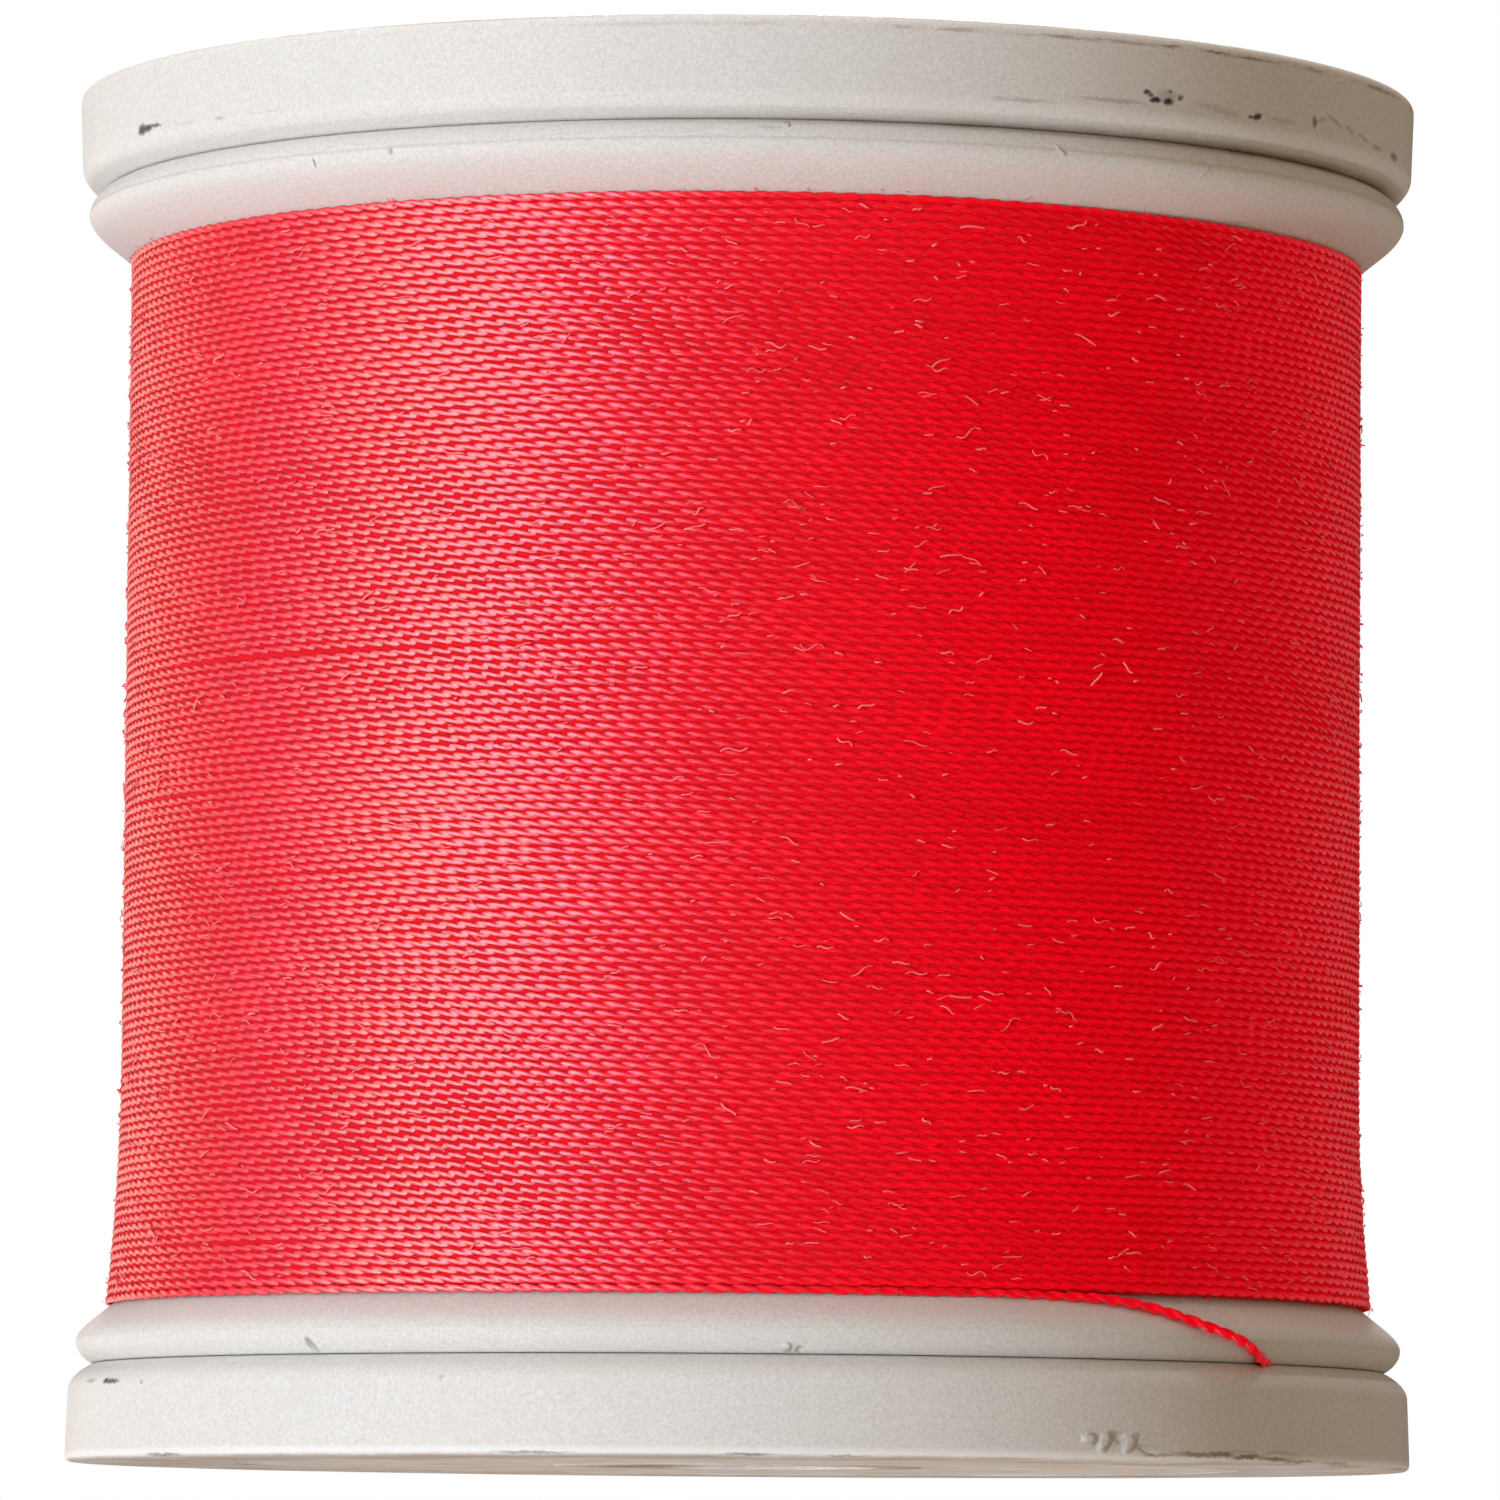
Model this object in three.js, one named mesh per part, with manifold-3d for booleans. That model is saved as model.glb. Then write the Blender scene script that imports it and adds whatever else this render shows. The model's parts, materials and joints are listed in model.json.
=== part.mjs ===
// A spool of sewing thread, as an assembly: a barrel with a beaded flange pressed on each end, a snap
// cap over each flange with its paper label, and one thread wound on the barrel, its tail held in the
// slot between the lower flange and its cap.
// Millimetres, +Z up along the spool's axis, origin at the centre of the face that the spool stands on.
import * as THREE from "three";
import { mergeVertices } from "three/addons/utils/BufferGeometryUtils.js";
import Module from "manifold-3d";

const wasm = await Module();
wasm.setup();

// Driving sizes of the spool.
const SPOOL_HEIGHT = 52; // over both caps
const RIM_RADIUS = 25.5; // of the caps, where they are widest
const SEAT_GAP = 0.06; // between pieces that are pressed, wound or glued together
const SLIDING_GAP = 0.3; // between pieces that slide past each other

// The snap caps.
const CAP_THICKNESS = 3.5; // outer face to the land that clamps the thread's tail
const RIM_DRAFT = 0.06; // how much the rim draws in from its outer edge to its shoulder
const RIM_CORNER = 0.25; // bevel at the outer face
const SHOULDER_WIDTH = 0.98; // from the rim in to the foot of the groove
const SHOULDER_HEIGHT = 0.8;
const SHOULDER_BULGE = 0.3; // how far its curve stands out from a plain bevel
const LAND_WIDTH = 3; // of the flat ring that clamps the tail, on caps and flanges alike
const CAP_WEB = 1.3; // left between the label's recess and the pocket
const PIN_MOUTH = 0.6; // bevel at the mouth of the pin hole
const FINGER_LENGTH = 9; // past the cap's land
const FINGER_WALL = 1.4;
const FINGER_SIDE_GAP = 1.9; // between a finger and the barrel's rib beside it
const BARB_REACH = 0.8; // past the finger's outer face
const BARB_HEIGHT = 1.4;
const BARB_NOSE = 0.5; // straight part of the barb, before its lead-in slope
const CAP_TRAVEL = 2; // from closed to open

// The flanges.
const BEAD_INSET = 0.38; // bead's crest below the rim
const BEAD_FRONT = 0.67; // flange's outer face to the bead's crest
const BEAD_BACK = 0.79; // bead's crest to where its flank passes the foot of the groove again
const BEAD_ROUNDING = 0.45; // height over which the bead's curve holds its full radius
const FLANK_SLOPE = 1.25; // the flank's fall in radius for each millimetre of height
const FLANGE_THICKNESS = 3.5;
const FLANGE_WEB = 1.4; // left round and behind the flange's pocket

// The barrel.
const BARREL_RADIUS = 13;
const BARREL_WALL = 1.8;
const SEAT_STEP = 0.55; // the flange's seat is turned down by this
const PIN_BORE_RADIUS = 4.6; // takes a sewing machine's spool pin
const PIN_TUBE_WALL = 1.6;
const RIB_THICKNESS = 1.2;
const RIB_COUNT = 4;

// The labels, which lie in a recess of each cap's outer face.
const LABEL_RECESS = 0.4;
const LABEL_THICKNESS = 0.15;
const LABEL_RADIUS = 19;
const LABEL_HOLE_RADIUS = 7;
const LABEL_EDGE_GAP = 0.25;

// The winding. Its outer layer is drawn with fewer and thicker turns than the real one.
const WINDING_INSET = 1.72; // winding's surface below the bead's crest
const STRAND_DIAMETER = 1.1;
const STRAND_GAP = 0.43; // between turns
const WINDING_FLARE = 0.6; // extra radius where the thread piles up at the lower flange
const WINDING_FLARE_HEIGHT = 9;
const TAIL_DIAMETER = 0.3;
const TAIL_GAP = 0.05; // between the tail and what it lies on
const TAIL_START_GAP = 0.3; // between the end of the outer layer and the tail

// Counts for round and curved forms.
const TURNED_STEPS = 48;
const CURVE_STEPS = 3;
const LOOP_STEPS = 24;
const STRAND_SIDES = 6;
const TAIL_SIDES = 8;
const TAIL_STEPS = 44;
const OVERRUN = 1; // for cutters that run past what they cut, and for joins
const MERGE_DISTANCE = 1e-4;
const HALF = 0.5;

// Places and sizes that follow from the driving ones.
const grooveRadius = RIM_RADIUS - SHOULDER_WIDTH;
const landInnerRadius = grooveRadius - LAND_WIDTH;
const threadSlot = TAIL_DIAMETER + 2 * TAIL_GAP; // between a flange and its cap, closed
const flangeOuterZ = CAP_THICKNESS + threadSlot;
const flangeInnerZ = flangeOuterZ + FLANGE_THICKNESS;
const beadRadius = RIM_RADIUS - BEAD_INSET;
const beadCrestZ = flangeOuterZ + BEAD_FRONT;
const flankStartZ = beadCrestZ + BEAD_BACK;
const flankEndRadius = grooveRadius - FLANK_SLOPE * (flangeInnerZ - flankStartZ);
const seatRadius = BARREL_RADIUS - SEAT_STEP;
const barrelInnerRadius = BARREL_RADIUS - BARREL_WALL;
const pinTubeRadius = PIN_BORE_RADIUS + PIN_TUBE_WALL;
const fingerOuterRadius = barrelInnerRadius - SLIDING_GAP;
const fingerInnerRadius = fingerOuterRadius - FINGER_WALL;
const barbZ = CAP_THICKNESS + FINGER_LENGTH - BARB_HEIGHT;
const beadTurnZ = flankStartZ - (beadRadius - grooveRadius) / FLANK_SLOPE; // flank's line at the crest
const windingRadius = beadRadius - WINDING_INSET;
const windingFootRadius = windingRadius + WINDING_FLARE;
const strandRadius = STRAND_DIAMETER * HALF;
const strandFlat = strandRadius * Math.cos(Math.PI / STRAND_SIDES); // centre of a strand to its flat
const strandPathRadius = windingRadius - strandFlat;
const chordShare = Math.cos(Math.PI / LOOP_STEPS); // of a turn's radius, left at the middle of its steps
const coreRadius = (strandPathRadius - strandFlat) * chordShare - SEAT_GAP;
const flankLength = Math.hypot(FLANK_SLOPE, 1); // for each millimetre of the flank's height

const materials = {
  plastic: new THREE.MeshStandardMaterial({ color: 0xe9e6e0, roughness: 0.5, metalness: 0 }),
  paper: new THREE.MeshStandardMaterial({ color: 0xf2eee4, roughness: 0.85, metalness: 0 }),
  thread: new THREE.MeshStandardMaterial({ color: 0xe00624, roughness: 0.45, metalness: 0 }),
};

// Solids of revolution, and joins and cuts

function turned(path) {
  const points = path.getPoints(CURVE_STEPS);
  const distinct = points.filter((p, i) => i === 0 || p.distanceTo(points[i - 1]) > MERGE_DISTANCE);
  return new THREE.LatheGeometry(distinct, TURNED_STEPS).rotateX(Math.PI * HALF);
}

function solidOf(geometry) {
  const bare = geometry.clone();
  bare.deleteAttribute("normal");
  bare.deleteAttribute("uv");
  const merged = mergeVertices(bare, MERGE_DISTANCE);
  const vertProperties = merged.attributes.position.array;
  const triVerts = new Uint32Array(merged.index.array);
  return new wasm.Manifold(new wasm.Mesh({ numProp: 3, vertProperties, triVerts }));
}

function geometryOf(solid) {
  const { vertProperties, triVerts } = solid.getMesh();
  const position = new THREE.BufferAttribute(new Float32Array(vertProperties), 3);
  const geometry = new THREE.BufferGeometry().setAttribute("position", position);
  return geometry.setIndex(new THREE.BufferAttribute(new Uint32Array(triVerts), 1));
}

function boxSolid(width, depth, height, x, y, z) {
  return solidOf(new THREE.BoxGeometry(width, depth, height).translate(x, y, z));
}

// The height of the lower flange's inner side at a radius: its flat face, or its flank farther out.
function flangeSideZ(radius) {
  return Math.min(flangeInnerZ, flankStartZ + (grooveRadius - radius) / FLANK_SLOPE);
}

// The caps

function capOutline() {
  const pocketZ = LABEL_RECESS + CAP_WEB;
  const pocketInnerRadius = BARREL_RADIUS + SLIDING_GAP;
  const shoulderRadius = RIM_RADIUS - RIM_DRAFT;
  const shoulderZ = CAP_THICKNESS - SHOULDER_HEIGHT;
  const path = new THREE.Path();
  path.moveTo(PIN_BORE_RADIUS + PIN_MOUTH, 0);
  path.lineTo(LABEL_HOLE_RADIUS, 0);
  path.lineTo(LABEL_HOLE_RADIUS, LABEL_RECESS);
  path.lineTo(LABEL_RADIUS, LABEL_RECESS);
  path.lineTo(LABEL_RADIUS, 0);
  path.lineTo(RIM_RADIUS - RIM_CORNER, 0);
  path.lineTo(RIM_RADIUS, RIM_CORNER);
  path.lineTo(shoulderRadius, shoulderZ);
  path.quadraticCurveTo(shoulderRadius, CAP_THICKNESS - SHOULDER_BULGE, grooveRadius, CAP_THICKNESS);
  path.lineTo(landInnerRadius, CAP_THICKNESS);
  path.lineTo(landInnerRadius, pocketZ);
  path.lineTo(pocketInnerRadius, pocketZ);
  path.lineTo(pocketInnerRadius, CAP_THICKNESS);
  path.lineTo(PIN_BORE_RADIUS, CAP_THICKNESS);
  path.lineTo(PIN_BORE_RADIUS, PIN_MOUTH);
  path.closePath();
  return path;
}

function fingerRingOutline() {
  const tipZ = CAP_THICKNESS + FINGER_LENGTH;
  const barbRadius = fingerOuterRadius + BARB_REACH;
  const path = new THREE.Path();
  path.moveTo(fingerInnerRadius, CAP_THICKNESS - OVERRUN);
  path.lineTo(fingerOuterRadius, CAP_THICKNESS - OVERRUN);
  path.lineTo(fingerOuterRadius, barbZ);
  path.lineTo(barbRadius, barbZ);
  path.lineTo(barbRadius, barbZ + BARB_NOSE);
  path.lineTo(fingerOuterRadius, tipZ);
  path.lineTo(fingerInnerRadius, tipZ);
  path.closePath();
  return path;
}

// A cap as it lies at the foot of the spool, with four snap fingers that pass between the barrel's ribs.
function capGeometry() {
  const slotWidth = RIB_THICKNESS + 2 * FINGER_SIDE_GAP;
  const slotReach = 2 * (fingerOuterRadius + BARB_REACH + OVERRUN);
  const slotHeight = FINGER_LENGTH + OVERRUN;
  const slotZ = CAP_THICKNESS + slotHeight * HALF;
  const fingers = solidOf(turned(fingerRingOutline()))
    .subtract(boxSolid(slotReach, slotWidth, slotHeight, 0, 0, slotZ))
    .subtract(boxSolid(slotWidth, slotReach, slotHeight, 0, 0, slotZ));
  return geometryOf(solidOf(turned(capOutline())).add(fingers));
}

// A flange as it lies at the foot of the spool

function flangeGeometry() {
  const boreRadius = seatRadius + SEAT_GAP;
  const pocketInnerRadius = BARREL_RADIUS + FLANGE_WEB;
  const pocketZ = flangeInnerZ - FLANGE_WEB;
  const path = new THREE.Path();
  path.moveTo(boreRadius, flangeOuterZ);
  path.lineTo(pocketInnerRadius, flangeOuterZ);
  path.lineTo(pocketInnerRadius, pocketZ);
  path.lineTo(landInnerRadius, pocketZ);
  path.lineTo(landInnerRadius, flangeOuterZ);
  path.lineTo(grooveRadius, flangeOuterZ);
  path.quadraticCurveTo(beadRadius, beadCrestZ - BEAD_ROUNDING, beadRadius, beadCrestZ);
  path.quadraticCurveTo(beadRadius, beadTurnZ, grooveRadius, flankStartZ);
  path.lineTo(flankEndRadius, flangeInnerZ);
  path.lineTo(boreRadius, flangeInnerZ);
  path.closePath();
  return turned(path);
}

// The barrel: an outer tube with a seat for a flange and a groove for the barbs at each end, a tube for
// the spool pin, and ribs between the two

function barrelOutline() {
  const endZ = flangeOuterZ;
  const shoulderZ = flangeInnerZ + SEAT_GAP;
  const barbGrooveRadius = fingerOuterRadius + BARB_REACH + SLIDING_GAP;
  const grooveLowZ = barbZ - CAP_TRAVEL - SEAT_GAP;
  const grooveHighZ = barbZ + BARB_HEIGHT + SLIDING_GAP;
  const path = new THREE.Path();
  path.moveTo(barrelInnerRadius, endZ);
  path.lineTo(seatRadius, endZ);
  path.lineTo(seatRadius, shoulderZ);
  path.lineTo(BARREL_RADIUS, shoulderZ);
  path.lineTo(BARREL_RADIUS, SPOOL_HEIGHT - shoulderZ);
  path.lineTo(seatRadius, SPOOL_HEIGHT - shoulderZ);
  path.lineTo(seatRadius, SPOOL_HEIGHT - endZ);
  path.lineTo(barrelInnerRadius, SPOOL_HEIGHT - endZ);
  for (const [from, to] of [
    [SPOOL_HEIGHT - grooveLowZ, SPOOL_HEIGHT - grooveHighZ],
    [grooveHighZ, grooveLowZ],
  ]) {
    path.lineTo(barrelInnerRadius, from);
    path.lineTo(barbGrooveRadius, from);
    path.lineTo(barbGrooveRadius, to);
    path.lineTo(barrelInnerRadius, to);
  }
  path.closePath();
  return path;
}

function pinTubeOutline() {
  const path = new THREE.Path();
  path.moveTo(PIN_BORE_RADIUS, flangeOuterZ);
  path.lineTo(pinTubeRadius, flangeOuterZ);
  path.lineTo(pinTubeRadius, SPOOL_HEIGHT - flangeOuterZ);
  path.lineTo(PIN_BORE_RADIUS, SPOOL_HEIGHT - flangeOuterZ);
  path.closePath();
  return path;
}

function barrelGeometry() {
  const ribInner = pinTubeRadius - PIN_TUBE_WALL * HALF;
  const ribOuter = barrelInnerRadius + SLIDING_GAP;
  const ribLength = ribOuter - ribInner;
  const ribHeight = SPOOL_HEIGHT - 2 * flangeOuterZ;
  let barrel = solidOf(turned(barrelOutline())).add(solidOf(turned(pinTubeOutline())));
  for (let i = 0; i < RIB_COUNT; i++) {
    const rib = new THREE.BoxGeometry(ribLength, RIB_THICKNESS, ribHeight);
    rib.translate((ribInner + ribOuter) * HALF, 0, SPOOL_HEIGHT * HALF);
    rib.rotateZ((2 * Math.PI * i) / RIB_COUNT);
    barrel = barrel.add(solidOf(rib));
  }
  return geometryOf(barrel);
}

// A label as it lies in the lower cap's recess

function labelGeometry() {
  const innerRadius = LABEL_HOLE_RADIUS + LABEL_EDGE_GAP;
  const outerRadius = LABEL_RADIUS - LABEL_EDGE_GAP;
  const glueZ = LABEL_RECESS - SEAT_GAP;
  const path = new THREE.Path();
  path.moveTo(innerRadius, glueZ - LABEL_THICKNESS);
  path.lineTo(outerRadius, glueZ - LABEL_THICKNESS);
  path.lineTo(outerRadius, glueZ);
  path.lineTo(innerRadius, glueZ);
  path.closePath();
  return turned(path);
}

// The winding's inner layers, packed solid between the flanges

// The winding's extra radius at a height, where the thread piles up at the lower flange.
function windingFlare(z) {
  const share = 1 - (z - flangeSideZ(windingFootRadius)) / WINDING_FLARE_HEIGHT;
  return WINDING_FLARE * THREE.MathUtils.clamp(share, 0, 1) ** 2;
}

function innerLayersGeometry() {
  const bottomZ = flangeInnerZ + SEAT_GAP;
  const bendRadius = Math.min(flankEndRadius, coreRadius);
  const edgeZ = flangeSideZ(coreRadius) + SEAT_GAP;
  const path = new THREE.Path();
  path.moveTo(BARREL_RADIUS + SEAT_GAP, bottomZ);
  path.lineTo(bendRadius, bottomZ);
  for (let i = 0; i <= CURVE_STEPS; i++) {
    const z = edgeZ + (WINDING_FLARE_HEIGHT * i) / CURVE_STEPS;
    path.lineTo(coreRadius + windingFlare(z), z);
  }
  path.lineTo(coreRadius, SPOOL_HEIGHT - edgeZ);
  path.lineTo(bendRadius, SPOOL_HEIGHT - bottomZ);
  path.lineTo(BARREL_RADIUS + SEAT_GAP, SPOOL_HEIGHT - bottomZ);
  path.closePath();
  return turned(path);
}

// The winding's outer layer, as one strand that runs down the spool in even turns and ends where the
// tail begins

const TAIL_START_ANGLE = THREE.MathUtils.degToRad(-70);
const strandLift = ((strandRadius + SEAT_GAP) * flankLength) / FLANK_SLOPE;
const strandLowZ = flangeSideZ(strandPathRadius * chordShare) + strandLift;
const strandHighZ = SPOOL_HEIGHT - strandLowZ;
const loops = Math.floor((strandHighZ - strandLowZ) / (STRAND_DIAMETER + STRAND_GAP));

function at(angle, radius, z) {
  return new THREE.Vector3(radius * Math.cos(angle), radius * Math.sin(angle), z);
}

function strandPoint(share) {
  const z = THREE.MathUtils.lerp(strandHighZ, strandLowZ, share);
  const angle = TAIL_START_ANGLE - 2 * Math.PI * loops * (1 - share);
  return at(angle, strandPathRadius + windingFlare(z), z);
}

// The way that a strand runs at a point, level and square to the radius.
function forwardAt(point) {
  return new THREE.Vector3(-point.y, point.x, 0).normalize();
}

// The strand's centre points, with a straight run of one diameter at each end.
function strandPath() {
  const steps = loops * LOOP_STEPS;
  const wound = Array.from({ length: steps + 1 }, (_, i) => strandPoint(i / steps));
  const first = wound[0];
  const last = wound[steps];
  const before = first.clone().addScaledVector(forwardAt(first), -STRAND_DIAMETER);
  const after = last.clone().addScaledVector(forwardAt(last), STRAND_DIAMETER);
  return [before, ...wound, after];
}

const strandPoints = strandPath();

// A closed tube through points that go round the spool, with flats that face the axis.
function woundTube(points) {
  const position = [];
  const index = [];
  const corner = (ring, k) => ring * STRAND_SIDES + (k % STRAND_SIDES);
  const lastRing = points.length - 1;
  points.forEach((point, ring) => {
    const along = points[Math.min(ring + 1, lastRing)].clone().sub(points[Math.max(ring - 1, 0)]);
    const upward = new THREE.Vector3(point.x, point.y, 0).cross(along).normalize();
    const outward = along.clone().cross(upward).normalize();
    for (let k = 0; k < STRAND_SIDES; k++) {
      const turn = (2 * Math.PI * (k + HALF)) / STRAND_SIDES;
      const vertex = point.clone();
      vertex.addScaledVector(outward, strandRadius * Math.cos(turn));
      vertex.addScaledVector(upward, strandRadius * Math.sin(turn));
      position.push(vertex.x, vertex.y, vertex.z);
    }
  });
  for (let ring = 0; ring < lastRing; ring++) {
    for (let k = 0; k < STRAND_SIDES; k++) {
      index.push(corner(ring, k), corner(ring + 1, k + 1), corner(ring, k + 1));
      index.push(corner(ring, k), corner(ring + 1, k), corner(ring + 1, k + 1));
    }
  }
  for (let k = 1; k < STRAND_SIDES - 1; k++) {
    index.push(corner(0, 0), corner(0, k), corner(0, k + 1));
    index.push(corner(lastRing, 0), corner(lastRing, k + 1), corner(lastRing, k));
  }
  const geometry = new THREE.BufferGeometry().setIndex(index);
  return geometry.setAttribute("position", new THREE.Float32BufferAttribute(position, 3));
}

// The least clear gap between turns, measured between points that are half a turn apart or more.
function leastGap(points) {
  let least = Infinity;
  for (let i = 0; i < points.length; i++) {
    for (let j = i + LOOP_STEPS * HALF; j < Math.min(points.length, i + 2 * LOOP_STEPS); j++) {
      least = Math.min(least, points[i].distanceTo(points[j]));
    }
  }
  return least - STRAND_DIAMETER;
}

// The tail, from the end of the outer layer down over the bead and into the slot under the flange

const TAIL_SLOT_SHARES = [0.2, 0.36, 0.48, 0.56]; // of the land's width, how deep it lies in the slot

function tailRoute() {
  const lift = TAIL_DIAMETER * HALF + TAIL_GAP;
  const slotZ = flangeOuterZ - lift;
  const outward = lift / flankLength;
  const upward = (lift * FLANK_SLOPE) / flankLength;
  const middleRadius = (windingFootRadius + grooveRadius) * HALF;
  const onFlank = (degrees, radius) => around(degrees, radius + outward, flangeSideZ(radius) + upward);
  const inSlot = (degrees, share) => around(degrees, grooveRadius - LAND_WIDTH * share, slotZ);
  const last = strandPoints.at(-1);
  const start = last.clone().addScaledVector(forwardAt(last), TAIL_START_GAP);
  const leaving = start.clone().addScaledVector(forwardAt(start), STRAND_DIAMETER);
  return [
    start,
    leaving,
    onFlank(-59, windingFootRadius),
    onFlank(-53, middleRadius),
    onFlank(-48, grooveRadius),
    around(-44, beadRadius + lift, beadCrestZ),
    around(-40.5, beadRadius, beadCrestZ - BEAD_ROUNDING),
    around(-38, grooveRadius + lift * Math.SQRT1_2, flangeOuterZ - lift * Math.SQRT1_2),
    inSlot(-33, TAIL_SLOT_SHARES[0]),
    inSlot(-20, TAIL_SLOT_SHARES[1]),
    inSlot(0, TAIL_SLOT_SHARES[2]),
    inSlot(22, TAIL_SLOT_SHARES[3]),
  ];
}

function around(degrees, radius, z) {
  return at(THREE.MathUtils.degToRad(degrees), radius, z);
}

function tailGeometry() {
  const section = new THREE.Shape();
  section.absarc(0, 0, TAIL_DIAMETER * HALF, 0, 2 * Math.PI);
  const extrudePath = new THREE.CatmullRomCurve3(tailRoute());
  const options = { steps: TAIL_STEPS, extrudePath, curveSegments: TAIL_SIDES * HALF };
  return new THREE.ExtrudeGeometry(section, options);
}

// The spool

const spool = new THREE.Group();

function place(name, geometry, material, parent = spool) {
  const mesh = new THREE.Mesh(geometry, material);
  mesh.name = name;
  parent.add(mesh);
}

// The upper end is the lower end turned over.
const upperEnd = new THREE.Group();
upperEnd.position.z = SPOOL_HEIGHT;
upperEnd.rotation.x = Math.PI;
spool.add(upperEnd);

place("barrel", barrelGeometry(), materials.plastic);
place("lower_flange", flangeGeometry(), materials.plastic);
place("upper_flange", flangeGeometry(), materials.plastic, upperEnd);
place("bottom_cap", capGeometry(), materials.plastic);
place("top_cap", capGeometry(), materials.plastic, upperEnd);
place("bottom_label", labelGeometry(), materials.paper);
place("top_label", labelGeometry(), materials.paper, upperEnd);
place("thread_inner_layers", innerLayersGeometry(), materials.thread);
place("thread_outer_layer", woundTube(strandPoints), materials.thread);
place("thread_tail", tailGeometry(), materials.thread);

console.log(`thread_outer_layer: ${loops} turns, least gap ${leastGap(strandPoints).toFixed(2)} mm`);

export default spool;
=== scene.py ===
import json
import math

import bpy
import numpy as np
from mathutils import Matrix, Vector

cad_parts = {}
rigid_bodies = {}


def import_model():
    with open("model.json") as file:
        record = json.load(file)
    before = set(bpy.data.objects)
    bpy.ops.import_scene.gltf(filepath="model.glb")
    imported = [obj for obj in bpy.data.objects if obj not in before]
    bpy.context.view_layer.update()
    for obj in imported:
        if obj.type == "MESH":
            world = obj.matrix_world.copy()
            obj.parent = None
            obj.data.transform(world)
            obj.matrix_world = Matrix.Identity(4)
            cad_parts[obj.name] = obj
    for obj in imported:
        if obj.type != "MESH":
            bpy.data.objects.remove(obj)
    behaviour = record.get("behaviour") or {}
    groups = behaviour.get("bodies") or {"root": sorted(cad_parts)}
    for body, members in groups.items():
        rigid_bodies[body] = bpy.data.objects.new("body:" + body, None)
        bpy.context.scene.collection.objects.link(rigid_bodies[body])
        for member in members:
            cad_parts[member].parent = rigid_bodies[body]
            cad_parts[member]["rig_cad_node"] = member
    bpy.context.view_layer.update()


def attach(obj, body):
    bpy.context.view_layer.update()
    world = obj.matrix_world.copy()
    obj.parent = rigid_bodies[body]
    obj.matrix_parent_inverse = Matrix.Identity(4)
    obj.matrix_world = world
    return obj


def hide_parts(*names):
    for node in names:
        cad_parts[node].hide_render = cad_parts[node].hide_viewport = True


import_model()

MM = 0.001
RANDOM = np.random.default_rng(7)

# Sizes of the spool as in part.mjs: radii, and heights at the lower end
HEIGHT = 52.0
RIM = 25.5
SHOULDER = RIM - 0.1  # where the rim meets the curve in to the groove
SHOULDER_Z = 2.72
GROOVE = 24.52
LAND_INNER = 21.52
CAP_TOP = 3.5
CAP_POCKET = 1.7
FLANGE_LOW = 3.9
FLANGE_POCKET = 6.0
FLANGE_HIGH = 7.4
BEAD = 25.12
BEAD_Z = 4.57
FLANK_Z = 5.36
FLANK_SLOPE = 1.25
BARREL = 13.0
BARREL_INNER = 11.2
SEAT = 12.45
FLANGE_BORE = 12.51
BORE = 4.6
TUBE = 6.2
SEAT_GAP = 0.06
SLIDING_GAP = 0.3
FINGER_INNER, FINGER_OUTER, BARB = 9.5, 10.9, 11.7
FINGER_SWEEP = 61  # degrees
RIB_INNER, RIB_OUTER, RIB_HALF = 5.4, 11.5, 0.6  # between tube and barrel, and half their thickness
FINGER_COUNT = RIB_COUNT = 4
LABEL_HOLE, LABEL_RADIUS, LABEL_RECESS = 7.0, 19.0, 0.4
# Lips that narrow the slot between cap and flange, which would show black in the render
CAP_LIP = 3.7
FLANGE_LIP = 3.725
LIP_INNER = 23.8
LIP_OUTER = GROOVE - 0.04
LIP_SLOPE = 0.2
FLANK_END = GROOVE - FLANK_SLOPE * (FLANGE_HIGH - FLANK_Z)

# Camera, found from the photograph's rims and corners
PHOTO_PIXELS = 1500
FOCAL_PIXELS = 11294
SENSOR = 36
CAMERA_DISTANCE = 431
CAMERA_ELEVATION = math.radians(-4.5)
CAMERA_ROLL = math.radians(0.453)
CAMERA_AIM = Vector((0.28, 0, 27.33))


def make_camera():
    data = bpy.data.cameras.new("camera")
    data.sensor_fit = "HORIZONTAL"
    data.sensor_width = SENSOR
    data.lens = SENSOR * FOCAL_PIXELS / PHOTO_PIXELS
    data.clip_start, data.clip_end = 0.05, 20
    away = Vector((0, -math.cos(CAMERA_ELEVATION), math.sin(CAMERA_ELEVATION)))
    up = Vector((0, math.sin(CAMERA_ELEVATION), math.cos(CAMERA_ELEVATION)))
    right = Vector((1, 0, 0))
    turn = Matrix.Rotation(CAMERA_ROLL, 3, away)
    right, up = turn @ right, turn @ up
    axes = Matrix((right, up, away)).transposed().to_4x4()
    camera = bpy.data.objects.new("camera", data)
    camera.matrix_world = Matrix.Translation((CAMERA_AIM + away * CAMERA_DISTANCE) * MM) @ axes
    bpy.context.scene.collection.objects.link(camera)
    bpy.context.scene.camera = camera


make_camera()

# Node helpers


def put(tree, kind, inputs=None, **settings):
    """A new node. inputs maps a socket's name or number to a value or to another node's output."""
    node = tree.nodes.new(kind)
    for key, value in settings.items():
        setattr(node, key, value)
    for key, value in (inputs or {}).items():
        if isinstance(value, bpy.types.NodeSocket):
            tree.links.new(value, node.inputs[key])
        else:
            node.inputs[key].default_value = value
    return node


def calc(tree, operation, *values, clamp=False):
    """The result of a Math node."""
    node = put(tree, "ShaderNodeMath", dict(enumerate(values)), operation=operation, use_clamp=clamp)
    return node.outputs[0]


def product(tree, first, *others):
    """The values multiplied together."""
    for value in others:
        first = calc(tree, "MULTIPLY", first, value)
    return first


def vector_calc(tree, operation, *values, output="Vector"):
    """A result of a Vector Math node: its vector, or the value that a length or a dot product is."""
    node = put(tree, "ShaderNodeVectorMath", dict(enumerate(values)), operation=operation)
    return node.outputs[output]


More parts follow.
